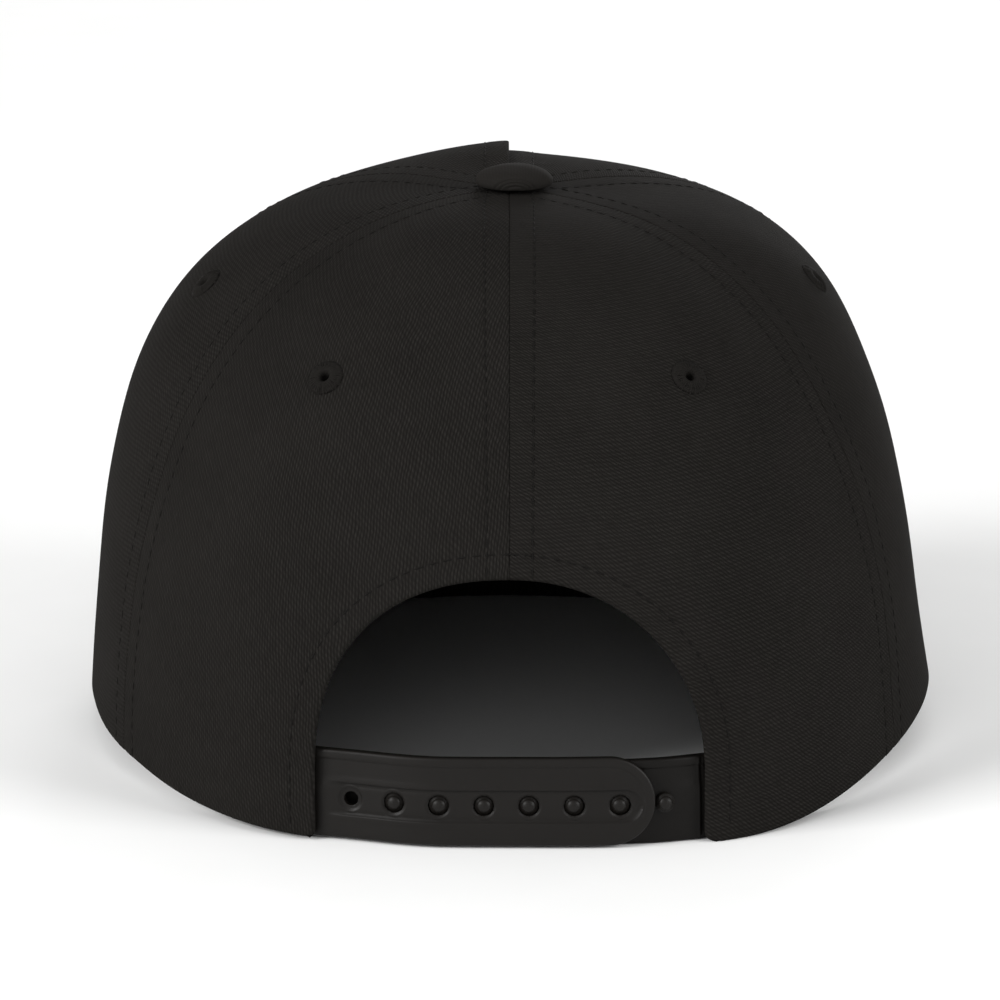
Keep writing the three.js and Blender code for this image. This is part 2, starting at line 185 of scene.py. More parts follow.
class Gore:
    """A panel's flat pattern, x across it and y up its middle, and how it lies on the crown."""

    def __init__(self, name, middle):
        self.name, self.middle, self.left = name, middle, name.endswith("left")
        self.length = CLOTH_LENGTH[middle]
        self.reach = np.hypot(*crown_at(middle, SHARES, self.left)[:, :2].T)

    def radius(self, y):
        return np.interp(y / self.length, SHARES, self.reach)

    def half_width(self, y):
        return np.radians(30) * self.radius(y) + SEAM_LAP

    def flat(self, azimuth, share):
        y = share * self.length
        return np.array([np.radians(turned(azimuth - self.middle)) * self.radius(y), y])

    def spots(self, flat):
        """Azimuth and share of the way up, for points of the pattern."""
        return self.middle + np.degrees(flat[:, 0] / self.radius(flat[:, 1])), flat[:, 1] / self.length

    def raised(self, flat, lift):
        """Points of the pattern on the crown, lifted off its outer face, and which way they face."""
        azimuth, share = self.spots(flat)
        facing = crown_facing(azimuth, share, self.left)
        return crown_at(azimuth, share, self.left) + facing * lift[:, None], facing


SEAM_LAP = 0.02              # each panel's edge passes the seam's line, so that no light comes through
ARCH = {"half_width": 40.6, "upright": 14.0, "top": 55.5, "full_left": 2.35, "full_right": 2.1}
ARCH_CORNER = 2.3            # radius of the hem's corner at the rim
MESH_STEP = 1.3              # between the points of the cloth
RING_ROOM, HOLE_EDGE, HOLE_RING = 0.6, 0.4, 0.55     # shares of a step, beside rings and round holes
EDGE_ROOM = 0.08             # from the edges to the nearest points inside
EDGE_RINGS = (0.12, 0.3, 0.55, 0.9, 1.35)
ROW_RINGS = (-0.8, -0.35, 0.0, 0.35, 0.8)
SEAM_ROW, ARCH_ROW = 4.8, 5.3         # stitch rows, from the seam or the edge
SEWN_ROWS = {"arch": ARCH_ROW, "seam_before": SEAM_ROW, "seam_after": SEAM_ROW}
ROW_ENDS = {"arch": 0.6, "seam": 1.6}        # rows stop this far from the other edges
PANELS = {"rear_right": 30, "side_right": 90, "front_right": 150,
          "front_left": 210, "side_left": 270, "rear_left": 330}
EYELETS = {                  # azimuth and climb of each panel's air hole
    "rear_left": (328.4, 48.2), "rear_right": (30.9, 48.5), "side_left": (278.3, 46.5),
    "side_right": (87.3, 42.0), "front_left": (210.0, 46.0), "front_right": (150.0, 46.0),
}
EYELET_HOLE, EYELET_RINGS, EYELET_DIP = 2.0, (2.35, 2.9, 3.5, 4.1, 4.7, 5.4), 0.3


def evenly(line, step):
    """The line again, with its points evenly spaced."""
    run = np.concatenate([[0], np.cumsum(np.hypot(*np.diff(line, axis=0).T))])
    places = np.linspace(0, run[-1], max(2, round(run[-1] / step) + 1))
    return np.column_stack([np.interp(places, run, line[:, k]) for k in (0, 1)])


def distance_to(line, points):
    """Distance from each point to the line, and how far along the line its nearest point is."""
    start, step = line[:-1], np.diff(line, axis=0)
    length = np.hypot(*step.T)
    run = np.concatenate([[0], np.cumsum(length)])
    gaps, alongs = [], []
    for part in np.array_split(points, max(1, len(points) // 2500)):
        away = part[:, None] - start
        share = np.clip((away * step).sum(2) / length ** 2, 0, 1)
        gap = np.linalg.norm(away - share[..., None] * step, axis=2)
        nearest = gap.argmin(1)
        rows = np.arange(len(part))
        gaps.append(gap[rows, nearest])
        alongs.append(run[nearest] + share[rows, nearest] * length[nearest])
    return np.concatenate(gaps), np.concatenate(alongs)


def beside(line, distance):
    """The line moved to its left, without the stretches that a bend would fold over."""
    heading = np.gradient(line, axis=0)
    heading /= np.linalg.norm(heading, axis=1, keepdims=True)
    moved = line + distance * np.column_stack([-heading[:, 1], heading[:, 0]])
    return moved[distance_to(line, moved)[0] > 0.97 * distance]


def within(loop, points):
    """Whether each point is inside the closed loop."""
    (x0, y0), (x1, y1) = loop.T, np.roll(loop, -1, axis=0).T
    rise = np.where(y1 == y0, 1, y1 - y0)
    found = []
    for part in np.array_split(points, max(1, len(points) // 2500)):
        x, y = part[:, :1], part[:, 1:]
        crossed = ((y0 > y) != (y1 > y)) & (x < (x1 - x0) * (y - y0) / rise + x0)
        found.append(crossed.sum(1) % 2 == 1)
    return np.concatenate(found)


def circle(centre, radius, step):
    angle = np.linspace(0, 2 * np.pi, max(12, round(2 * np.pi * radius / step)), endpoint=False)
    return np.asarray(centre) + radius * np.column_stack([np.cos(angle), np.sin(angle)])


def cut_flat(edges, rings, step, holes=(), guides=()):
    """Points and triangles of a flat cut. Its edges follow each other anticlockwise, rings gives
    the distances beside an edge at which points lie closer, and each hole is a centre and radii:
    the first is cut out and the others are rings of points round it. Guides are more lines of
    points."""
    loop = np.vstack([line[:-1] for line in edges.values()])
    close = [beside(edges[name], distance) for name, gaps in rings.items() for distance in gaps]
    close += guides
    low, high = loop.min(0), loop.max(0)
    lattice = []
    for k, y in enumerate(np.arange(low[1], high[1], step * math.sqrt(3) / 2)):
        x = np.arange(low[0] + step / 2 * (k % 2), high[0], step)
        lattice.append(np.column_stack([x, x * 0 + y]))
    lattice = np.vstack(lattice)
    spare = np.ones(len(lattice), bool)
    for name, line in edges.items():
        gap = distance_to(line, lattice)[0]
        for distance in rings.get(name, (0,)):
            spare &= abs(gap - distance) > RING_ROOM * step
    for line in guides:
        spare &= distance_to(line, lattice)[0] > RING_ROOM * step
    points = np.vstack([*close, lattice[spare]])
    points = points[within(loop, points)]
    clear = np.min([distance_to(line, points)[0] for line in edges.values()], axis=0) > EDGE_ROOM
    points = points[clear]
    bounds, lines, solid = [loop], [], []
    for centre, radii in holes:
        points = points[np.linalg.norm(points - centre, axis=1) > radii[-1] + 0.3 * step]
        solid += [circle(centre, radius, HOLE_RING * step) for radius in radii[1:]]
        bounds.append(circle(centre, radii[0], HOLE_EDGE * step))
    points = np.vstack([points, *solid])
    points = points[np.unique(np.round(points / 0.1), axis=0, return_index=True)[1]]
    first = 0
    for ring in bounds:
        lines += [(first + k, first + (k + 1) % len(ring)) for k in range(len(ring))]
        first += len(ring)
    everything = np.vstack([*bounds, points])
    made = delaunay_2d_cdt([Vector(p) for p in everything], lines, [], 0, 1e-5, False)
    flat, triangles = np.array([tuple(p) for p in made[0]]), np.array(made[2])
    middle = flat[triangles].mean(1)
    keep = within(loop, middle)
    for centre, radii in holes:
        keep &= np.linalg.norm(middle - centre, axis=1) > 0.98 * radii[0]
    triangles = triangles[keep]
    a, b, c = (flat[triangles[:, k]] for k in range(3))
    area = (b - a)[:, 0] * (c - a)[:, 1] - (b - a)[:, 1] * (c - a)[:, 0]
    triangles[area < 0] = triangles[area < 0][:, ::-1]
    triangles = triangles[abs(area) > 1e-7]
    used, again = np.unique(triangles, return_inverse=True)
    return flat[used], again.reshape(-1, 3)


def patterned_mesh(name, points, faces, pattern):
    """A smooth mesh from points in millimetres, with its pattern's millimetres as the UV map."""
    mesh = bpy.data.meshes.new(name)
    mesh.from_pydata(np.asarray(points) * MM, [], faces)
    corners = np.empty(len(mesh.loops), np.int32)
    mesh.loops.foreach_get("vertex_index", corners)
    layer = mesh.uv_layers.new(name="cloth")
    layer.data.foreach_set("uv", (np.asarray(pattern)[corners] * MM).ravel())
    mesh.shade_smooth()
    return mesh


def wall_mesh(name, flat, triangles, outer, inner, lean=90):
    """A closed piece of cloth or sheet: outer face, inner face and the edges between them. Its
    pattern is turned so that its y runs at the lean given."""
    count = len(flat)
    ends = np.vstack([triangles[:, [0, 1]], triangles[:, [1, 2]], triangles[:, [2, 0]]])
    forward, backward = ends @ (count, 1), ends @ (1, count)
    rim = ends[~np.isin(forward, backward)]
    faces = [*triangles.tolist(), *(triangles[:, ::-1] + count).tolist(),
             *np.column_stack([rim[:, 1], rim[:, 0], rim[:, 0] + count, rim[:, 1] + count]).tolist()]
    across, along = math.radians(lean - 90), math.radians(lean)
    turn = np.array([(math.cos(across), math.cos(along)), (math.sin(across), math.sin(along))])
    points = np.vstack([outer, inner]) + CENTRE
    mesh = patterned_mesh(name, points, faces, np.vstack([flat, flat]) @ turn)
    for narrow in mesh.polygons[-len(rim):]:
        narrow.use_smooth = False
    return mesh


def linked(name, data):
    """A new object of the scene."""
    thing = bpy.data.objects.new(name, data)
    bpy.context.scene.collection.objects.link(thing)
    return thing


def add_piece(name, mesh, finish, slot, *nodes):
    """A piece that rides on the cap's body, in place of the nodes named."""
    piece = linked(name, mesh)
    if finish:
        mesh.materials.clear()
        mesh.materials.append(finish)
    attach(piece, "root")
    if nodes:
        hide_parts(*nodes)


def arch_line(gore):
    """The hemmed opening's edge on one rear panel, from the rim up to the centre seam."""
    side = -1 if gore.left else 1
    power = 2 / ARCH["full_left" if gore.left else "full_right"]
    angle = np.linspace(0, np.pi / 2, 90)
    x = np.concatenate([np.full(28, ARCH["half_width"]), ARCH["half_width"] * np.cos(angle) ** power])
    z = np.concatenate([np.linspace(0, ARCH["upright"], 28, endpoint=False),
                        ARCH["upright"] + (ARCH["top"] - ARCH["upright"]) * np.sin(angle) ** power])
    below = np.clip(ARCH_CORNER - z, 0, ARCH_CORNER)
    x += ARCH_CORNER - np.sqrt(ARCH_CORNER ** 2 - below ** 2)
    azimuth = np.degrees(side * x / SECTIONS[0][0])
    for _ in range(12):
        azimuth = np.degrees(np.arcsin(side * x / crown_radius(azimuth, z)))
    share = np.array([share_of_up(a, up) for a, up in zip(azimuth, up_at(azimuth, z))])
    line = gore.flat(azimuth, share).T
    line = line[np.concatenate([share[:-1] < share[1:], [True]])]
    line[0, 1] = 0
    line[-1, 0] = -side * gore.half_width(line[-1, 1])
    return line


def gore_edges(gore):
    """The panel's edges in turn, anticlockwise."""
    y = np.linspace(0, gore.length, 300)
    right = np.column_stack([gore.half_width(y), y])
    left = right[::-1] * (-1, 1)
    arch = arch_line(gore) if gore.name.startswith("rear") else None
    first, last = left[-1], right[0]
    if arch is not None and gore.left:
        last = arch[0]
        right = np.vstack([arch[-1], right[right[:, 1] > arch[-1, 1]]])
    elif arch is not None:
        first = arch[0]
        left = np.vstack([left[left[:, 1] > arch[-1, 1]], arch[-1]])
    edges = {"rim": np.array([first, last]), "seam_after": right,
             "tip": np.array([right[-1], left[0]]), "seam_before": left}
    if arch is not None and gore.left:
        edges = {"rim": edges.pop("rim"), "arch": arch, **edges}
    elif arch is not None:
        edges["arch"] = arch[::-1]
    return {name: evenly(line, 0.9) for name, line in edges.items()}


def eyelet_spot(gore):
    """Where the panel's air hole is on its pattern."""
    azimuth, climb = EYELETS[gore.name]
    s = crown_section(np.array(azimuth))
    up = np.sin(np.radians(climb)) ** (2 / s["top"])
    return gore.flat(azimuth, share_of_up(azimuth, up))


def rolled(gap, radius, depth):
    """How far a rounded edge falls away, from nothing at the radius to depth at the edge."""
    inside = np.clip(1 - gap / radius, 0, 1)
    return -depth * (1 - np.sqrt(1 - inside ** 2))


def gentle_waves(points, height, size, seed):
    """Soft irregular rises and falls of about a height, the same each time."""
    draw = np.random.default_rng(seed)
    total = np.zeros(len(points))
    for _ in range(7):
        heading = draw.normal(size=points.shape[1])
        heading /= np.linalg.norm(heading)
        length = size * draw.uniform(0.6, 1.7)
        total += np.sin(points @ heading * 2 * np.pi / length + draw.uniform(0, 6.28))
    return height * total / 7 * 1.6


STITCH_PITCH = 2.9
SEAM_FOLD = {"radius": 0.6, "depth": 0.3}
HEM_FOLD = {"radius": 1.1, "depth": 0.9}
PLY = 0.07                   # turned-in cloth under a seam or hem lifts the face as far as its row
ROW_SINK = 0.12
PUCKER = 0.03
CLOTH_WAVES = {"height": 0.22, "size": 42, "seed": 5}
SETTLED = (66, 58)           # between these angles from the front the rim comes to lie on the bill
CREST_LIFT = {"height": 0.35, "spread": 5.0}     # the front seam's turned-in cloth raises the crest
CREST_PLY = {"depth": 0.9, "width": 2.5}     # and lies against the left panel's inner face
INNER_SHARE = {"waves": 0.6, "fold": 0.7}    # of the outer face's relief that the inner face has


def row_relief(gap, along, row):
    """A stitched row: the ply under the cloth ends there, and the thread pulls it in."""
    stitch = 2 * np.pi * along / STITCH_PITCH
    pulled = ROW_SINK * ridge(gap - row, 0.45) * (0.85 + 0.15 * np.cos(stitch))
    puckered = PUCKER * ridge(gap - row, 2.4) * np.sin(stitch / 2.35)
    return PLY * smooth(gap, row + 0.9, row - 0.2) - pulled + puckered


def panel_relief(gore, edges, flat):
    """How far the cloth stands off the plain crown outside and inside, and settles onto the bill."""
    azimuth, share = gore.spots(flat)
    outer = gentle_waves(crown_at(azimuth, share, False), **CLOTH_WAVES)
    inner = -CLOTH + INNER_SHARE["waves"] * outer
    for name, line in edges.items():
        gap, along = distance_to(line, flat)
        if name.startswith("seam"):
            at_front = gore.name.startswith("front") and (name == "seam_before") == gore.left
            fold = rolled(gap, **SEAM_FOLD)
            outer += row_relief(gap, along, SEAM_ROW) + (0 if at_front and not gore.left else fold)
            inner -= INNER_SHARE["fold"] * fold
            if at_front:
                outer += CREST_LIFT["height"] * ridge(gap, CREST_LIFT["spread"])
                inner -= CREST_PLY["depth"] * smooth(gap, CREST_PLY["width"], 0.0) * gore.left
        elif name in ("arch", "rim"):
            fold = rolled(gap, **HEM_FOLD)
            outer += fold
            inner -= fold
        if name == "arch":
            outer += row_relief(gap, along, ARCH_ROW)
        if name == "rim":
            settled = smooth(abs(turned(azimuth - 180)), *SETTLED) * smooth(gap, 3, 0)
    nearby = np.linalg.norm(flat - eyelet_spot(gore), axis=1)
    outer -= EYELET_DIP * (ridge(nearby - 2.6, 1.2) + smooth(nearby, 3.2, 1.5))
    return outer, inner, settled


def math_node(operation, backwards=False):
    """A method that puts a signal and other values through a Math node."""
    def added(*values):
        order = values[::-1] if backwards else values
        return placed(values[0].tree, "ShaderNodeMath", dict(enumerate(order)), operation=operation)
    return added


class Signal:
    """A number on its way through a node tree. Ordinary maths on it adds the Math nodes."""

    __add__ = __radd__ = math_node("ADD")
    __mul__ = __rmul__ = math_node("MULTIPLY")
    __sub__, __rsub__ = math_node("SUBTRACT"), math_node("SUBTRACT", True)
    __truediv__, __pow__, __abs__ = math_node("DIVIDE"), math_node("POWER"), math_node("ABSOLUTE")
    sine, above = math_node("SINE"), math_node("GREATER_THAN")
    at_least, at_most = math_node("MAXIMUM"), math_node("MINIMUM")

    def __init__(self, tree, socket):
        self.tree, self.socket = tree, socket


def place_node(tree, kind, values=None, **settings):
    """Adds a node to a tree: first its settings, then the values or links of its sockets."""
    node = tree.nodes.new(kind)
    for key, value in settings.items():
        setattr(node, key, value)
    for key, value in (values or {}).items():
        value = getattr(value, "socket", value)
        if isinstance(value, bpy.types.NodeSocket):
            tree.links.new(value, node.inputs[key])
        else:
            node.inputs[key].default_value = value
    return node


def placed(tree, kind, values=None, output=0, **settings):
    """Adds a node to a tree and returns what comes out of it."""
    return Signal(tree, place_node(tree, kind, values, **settings).outputs[output])


class Finish:
    """A material being mixed from nodes."""

    def __init__(self, name):
        self.material = bpy.data.materials.new(name)
        self.material.use_nodes = True
        self.tree = self.material.node_tree
        self.tree.nodes.clear()

    def node(self, kind, values=None, output=0, **settings):
        return placed(self.tree, kind, values, output, **settings)

    def pattern(self):
        """Millimetres across and along the piece's own pattern."""
        place = self.node("ShaderNodeUVMap", uv_map="cloth")
        split = place_node(self.tree, "ShaderNodeSeparateXYZ", {0: place})
        return (Signal(self.tree, split.outputs[k]) * (1 / MM) for k in (0, 1))

    def noise(self, x, y, z, detail=2.0):
        """Soft noise between 0 and 1, with features about 1 across in the units given."""
        place = self.node("ShaderNodeCombineXYZ", {0: x, 1: y, 2: z})
        return self.node("ShaderNodeTexNoise", {"Vector": place, "Scale": 1.0, "Detail": detail})

    def grain(self, scale):
        """Noise through the piece itself, for pieces without a pattern."""
        place = self.node("ShaderNodeTexCoord", output="Object")
        return self.node("ShaderNodeTexNoise", {"Vector": place, "Scale": scale})

    def blend(self, share, dark, light):
        return self.node("ShaderNodeMix", {"Factor": share, "A": (*dark, 1), "B": (*light, 1)}, 2,
                         data_type="RGBA")

    def surface(self, colour, roughness, height, depth, constants):
        """Joins it all to a Principled surface; height is raised by depth in metres."""
        bump = self.node("ShaderNodeBump", {"Height": height, "Distance": depth})
        shader = self.node("ShaderNodeBsdfPrincipled",
                           {"Base Color": colour, "Roughness": roughness, "Normal": bump, **constants})
        place_node(self.tree, "ShaderNodeOutputMaterial", {"Surface": shader})
        return self.material


TWILL_PITCH = 0.66           # between the slanting ribs of the weave
TWILL_FLOAT = 1.5            # length of one raised thread along a rib
TWILL_DARK, TWILL_LIGHT = (0.0060, 0.0055, 0.0050), (0.0190, 0.0176, 0.0161)
CLOTH_GLOSS = {"Specular IOR Level": 0.02}


def twill_finish(name, strength, shade=1.0):
    """Black cotton twill: ribs up the pattern's y, made of short raised threads, a little uneven."""
    finish = Finish(name)
    x, y = finish.pattern()
    wander = finish.noise(x * 0.12, y * 0.12, 3.0)
    across = (x + wander * 1.6) * (math.pi / TWILL_PITCH)
    thread = (y * (2 * math.pi / TWILL_FLOAT) + across).sine() * 0.5 + 0.5
    streak = finish.noise(x * (1.3 / TWILL_PITCH), y * 0.35, 7.0)
    cloudy = finish.noise(x * 0.045, y * 0.045, 11.0, 3.0)
    weave = abs(across.sine()) * (0.4 + thread * 0.6)
    tone = weave * (streak * 1.7) * strength + cloudy * 0.35 + (0.33 - 0.42 * strength)
    dark, light = ([shade * c for c in colour] for colour in (TWILL_DARK, TWILL_LIGHT))
    return finish.surface(finish.blend(tone, dark, light), 0.9 - weave * 0.1,
                          weave * (0.4 + streak * 1.2), 0.12 * strength * MM, CLOTH_GLOSS)


crown_twill = twill_finish("crown_twill", 0.9)
RIB_LEAN = {"rear_right": 142, "side_right": 90, "front_right": 142,
            "front_left": 90, "side_left": 142, "rear_left": 96}    # of the ribs from level
BILL_CLEARANCE = 0.28        # the rim over the bill comes down onto it by this much
LOWEST = 0.02                # nothing reaches below this height above the floor
crown_cuts = {}
for side, middle in PANELS.items():
    gore = Gore(side, middle)
    edges = gore_edges(gore)
    rings = {name: EDGE_RINGS + tuple(row + k for k in ROW_RINGS)
             for name, row in SEWN_ROWS.items() if name in edges}
    rings["rim"] = EDGE_RINGS
    air_hole = (eyelet_spot(gore), (EYELET_HOLE, *EYELET_RINGS))
    flat, triangles = cut_flat(edges, rings, MESH_STEP, [air_hole])
    outside, inside, settled = panel_relief(gore, edges, flat)
    faces = [gore.raised(flat, lift)[0] for lift in (outside, inside)]
    for face in faces:
        face[:, 2] = np.maximum(face[:, 2] - BILL_CLEARANCE * settled, LOWEST)
    crown_cuts[side] = (gore, edges)
    mesh = wall_mesh(f"cloth_{side}", flat, triangles, *faces, RIB_LEAN[side])
    add_piece(f"cloth_{side}", mesh, crown_twill, "crown_twill", f"panel_{side}")

# Crown stitching
# Lockstitched rows of black thread, each stitch a short length that dips into the cloth at its
# ends: one on either side of every seam and one round the arch's hem.
THREAD_RADIUS, STITCH_LENGTH = 0.17, 2.3
ABOVE_CLOTH = 0.05           # the middle of a thread lies this far above a padded face


def thread_finish(name, dark, light):
    """Black spun thread, a little uneven."""
    finish = Finish(name)
    grain = finish.grain(2600.0)
    return finish.surface(finish.blend(grain, dark, light), grain * 0.3 + 0.6, grain, 0.05 * MM,
                          {"Specular IOR Level": 0.06})


def node_tree(name, start, sizes, counts=()):
    """An empty geometry tree with named inputs for its starting mesh, sizes, counts and finish, and
    the signals that they bring."""
    tree = bpy.data.node_groups.new(name, "GeometryNodeTree")
    inputs = {start: "Geometry", **dict.fromkeys(counts, "Int"), **dict.fromkeys(sizes, "Float"),
              "Finish": "Material"}
    for label, kind in inputs.items():
        tree.interface.new_socket(label, in_out="INPUT", socket_type=f"NodeSocket{kind}")
    tree.interface.new_socket("Made", in_out="OUTPUT", socket_type="NodeSocketGeometry")
    given = place_node(tree, "NodeGroupInput")
    return tree, {label: Signal(tree, given.outputs[label]) for label in inputs}


def end_tree(tree, grown, finish):
    """Instances made real, shaded smooth and given their finish, as every tree here ends."""
    real = placed(tree, "GeometryNodeRealizeInstances", {0: grown})
    soft = placed(tree, "GeometryNodeSetShadeSmooth", {0: real})
    dressed = placed(tree, "GeometryNodeSetMaterial", {0: soft, "Material": finish})
    place_node(tree, "NodeGroupOutput", {0: dressed})


def random_between(tree, low, high, seed):
    return placed(tree, "FunctionNodeRandomValue", {"Min": low, "Max": high, "Seed": seed}, "Value",
                  data_type="FLOAT")


def corner(tree, x, z):
    return placed(tree, "ShaderNodeCombineXYZ", {0: x, 2: z})


def tube(tree, curve, radius, sides, scale=1.0):
    """A closed tube along a curve."""
    rim = placed(tree, "GeometryNodeCurvePrimitiveCircle", {"Resolution": sides, "Radius": radius})
    return placed(tree, "GeometryNodeCurveToMesh", {
        "Curve": curve, "Profile Curve": rim, "Scale": scale, "Fill Caps": True})


def standing(tree, values=None, **settings):
    """The rotation that brings z the way that the points of a mesh face."""
    facing = placed(tree, "GeometryNodeInputNamedAttribute", {"Name": "facing"}, data_type="FLOAT_VECTOR")
    return placed(tree, "FunctionNodeAlignRotationToVector", {"Vector": facing, **(values or {})},
                  axis="Z", **settings)


def copies(tree, points, instance, rotation, scale=(1.0, 1.0, 1.0)):
    """A copy of the instance on every point."""
    return placed(tree, "GeometryNodeInstanceOnPoints", {
        "Points": points, "Instance": instance, "Rotation": rotation, "Scale": scale})


def stitch_tree():
    """Stitches along the loose edges of a mesh whose points carry the way that they face."""
    tree, given = node_tree("stitch_rows", "Rows", ("Pitch", "Length", "Thread", "Dip", "Wander"), ["Seed"])
    arc = placed(tree, "GeometryNodeCurveQuadraticBezier", {
        "Resolution": 5, "Start": corner(tree, given["Length"] * -0.5, given["Dip"] * -1),
        "Middle": corner(tree, 0.0, given["Dip"] * 1.6),
        "End": corner(tree, given["Length"] * 0.5, given["Dip"] * -1)})
    path = placed(tree, "GeometryNodeMeshToCurve", {"Mesh": given["Rows"]})
    spaced = placed(tree, "GeometryNodeResampleCurve", {"Curve": path, "Length": given["Pitch"]},
                    mode="LENGTH")
    heading = placed(tree, "GeometryNodeInputTangent")
    along = placed(tree, "FunctionNodeAlignRotationToVector", {"Vector": heading}, axis="X")
    sewn = copies(tree, spaced, tube(tree, arc, given["Thread"], 5),
                  standing(tree, {"Rotation": along}, pivot_axis="X"))
    swing = random_between(tree, given["Wander"] * -1, given["Wander"], given["Seed"])
    loose = placed(tree, "GeometryNodeRotateInstances",
                   {"Instances": sewn, "Rotation": corner(tree, 0.0, swing)})
    end_tree(tree, loose, given["Finish"])
    return tree


def grown_mesh(name, start, tree, values):
    """The plain mesh that a tree makes of a starting mesh."""
    host = linked(f"start_of_{name}", start)
    modifier = host.modifiers.new(tree.name, "NODES")
    modifier.node_group = tree
    for socket in tree.interface.items_tree:
        if socket.in_out == "INPUT" and socket.name in values:
            modifier[socket.identifier] = values[socket.name]
    bpy.context.view_layer.update()
    made = bpy.data.meshes.new_from_object(host.evaluated_get(bpy.context.evaluated_depsgraph_get()))
    made.name = name
    host.modifiers.clear()
    bpy.data.objects.remove(host)
    return made


def path_mesh(name, runs):
    """Loose edges through runs of points, each point carrying the way that it faces."""
    mesh = bpy.data.meshes.new(name)
    points = np.vstack([points for points, _ in runs])
    starts = np.cumsum([0] + [len(points) for points, _ in runs])
    lines = [(k, k + 1) for a, b in zip(starts, starts[1:]) for k in range(a, b - 1)]
    mesh.from_pydata((points + CENTRE) * MM, lines, [])
    facing = mesh.attributes.new("facing", "FLOAT_VECTOR", "POINT")
    facing.data.foreach_set("vector", np.vstack([facing for _, facing in runs]).ravel())
    return mesh


def unbroken(row, gap):
    """The stretches of a row of points between which it was cut."""
    breaks = np.nonzero(np.hypot(*np.diff(row, axis=0).T) > gap)[0] + 1
    return [part for part in np.split(row, breaks) if len(part) > 4]


def crown_rows():
    """The rows of the seams and the arch, as runs of points on the cloth and which way they face."""
    runs = []
    for gore, edges in crown_cuts.values():
        loop = np.vstack([line[:-1] for line in edges.values()])
        for name in ("seam_before", "seam_after", "arch"):
            if name not in edges:
                continue
            row = beside(edges[name], SEWN_ROWS[name])
            row = row[within(loop, row)]
            others = [distance_to(line, row)[0] for other, line in edges.items() if other != name]
            row = row[np.min(others, axis=0) > ROW_ENDS[name[:4]]]
            for part in unbroken(row, 3.0):
                runs.append(gore.raised(part, panel_relief(gore, edges, part)[0]))
    return runs


def sew(name, runs, dip, swing, seed):
    """Stitches along the runs as one piece, each dipping at its ends and a little out of line."""
    sewn = grown_mesh(name, path_mesh(f"path_of_{name}", runs), stitch_rows, {
        "Pitch": STITCH_PITCH * MM, "Length": STITCH_LENGTH * MM, "Thread": THREAD_RADIUS * MM,
        "Dip": dip * MM, "Wander": math.radians(swing), "Seed": seed, "Finish": thread})
    add_piece(name, sewn, None, "eyelet_thread")


thread = thread_finish("sewing_thread", (0.0040, 0.0037, 0.0033), (0.0100, 0.0092, 0.0084))
stitch_rows = stitch_tree()
sew("crown_stitches", crown_rows(), 0.18, 4, 3)

# Air holes
# Six round holes bound with black thread, which is wound from the hole out over a padded ring and
# draws the cloth in round it.
WINDING = {"Threads": 84, "Bore": 0.85 * MM, "Ring": 4.05 * MM, "Rise": 2.1 * MM, "Root": 1.75 * MM,
           "Thread": 0.15 * MM, "Wander": 0.03}
RING_CORE = ((0.85, -1.95), (1.85, -1.95), (1.9, -0.2), (3.6, -0.3), (4.05, -0.18), (3.3, 0.2),
             (2.3, 0.42), (1.4, 0.25), (0.95, -0.35))      # radius and height


def turned_mesh(name, profile, sides):
    """A solid turned about its upright axis, from pole to pole or round and back to its start."""
    points, rings, faces, pattern = [], [], [], []
    left = sum(math.dist(a, b) for a, b in zip(profile, profile[1:]))
    for (radius, height), after in zip(profile, [*profile[1:], profile[-1]]):
        count = sides if radius > 0 else 1
        rings.append([len(points) + k % count for k in range(sides + 1)])
        for k in range(count):
            angle = 2 * math.pi * k / sides
            points.append((radius * math.cos(angle), radius * math.sin(angle), height))
            pattern.append((left * math.cos(angle), left * math.sin(angle)))
        left -= math.dist((radius, height), after)
    if profile[0][0] > 0:
        rings.append(rings[0])
    for below, above in zip(rings, rings[1:]):
        faces += [list(dict.fromkeys((below[k], below[k + 1], above[k + 1], above[k])))
                  for k in range(sides)]
    return patterned_mesh(name, points, faces, pattern)


def winding_tree():
    """Threads wound through a hole and out over a ring, round a core that is the starting mesh."""
    sizes = ("Bore", "Ring", "Rise", "Root", "Thread", "Wander")
    tree, given = node_tree("wound_ring", "Core", sizes, ("Threads", "Seed"))
    loop = placed(tree, "GeometryNodeCurveQuadraticBezier", {
        "Resolution": 8, "Start": corner(tree, given["Bore"], given["Root"] * -1),
        "Middle": corner(tree, given["Bore"], given["Rise"]),
        "End": corner(tree, given["Ring"], given["Thread"] * -2.5)})
    starts = placed(tree, "GeometryNodePoints", {"Count": given["Threads"]})
    angle = placed(tree, "GeometryNodeInputIndex") * (2 * math.pi) / given["Threads"]
    angle = angle + random_between(tree, given["Wander"] * -1, given["Wander"], given["Seed"])
    size = random_between(tree, 0.94, 1.04, given["Seed"] + 1)
    scale = placed(tree, "ShaderNodeCombineXYZ", {0: size, 1: 1.0, 2: size})
    spread = copies(tree, starts, tube(tree, loop, given["Thread"], 5), corner(tree, 0.0, angle), scale)
    joined = place_node(tree, "GeometryNodeJoinGeometry", {0: given["Core"]})
    tree.links.new(spread.socket, joined.inputs[0])
    end_tree(tree, joined.outputs[0], given["Finish"])
    return tree


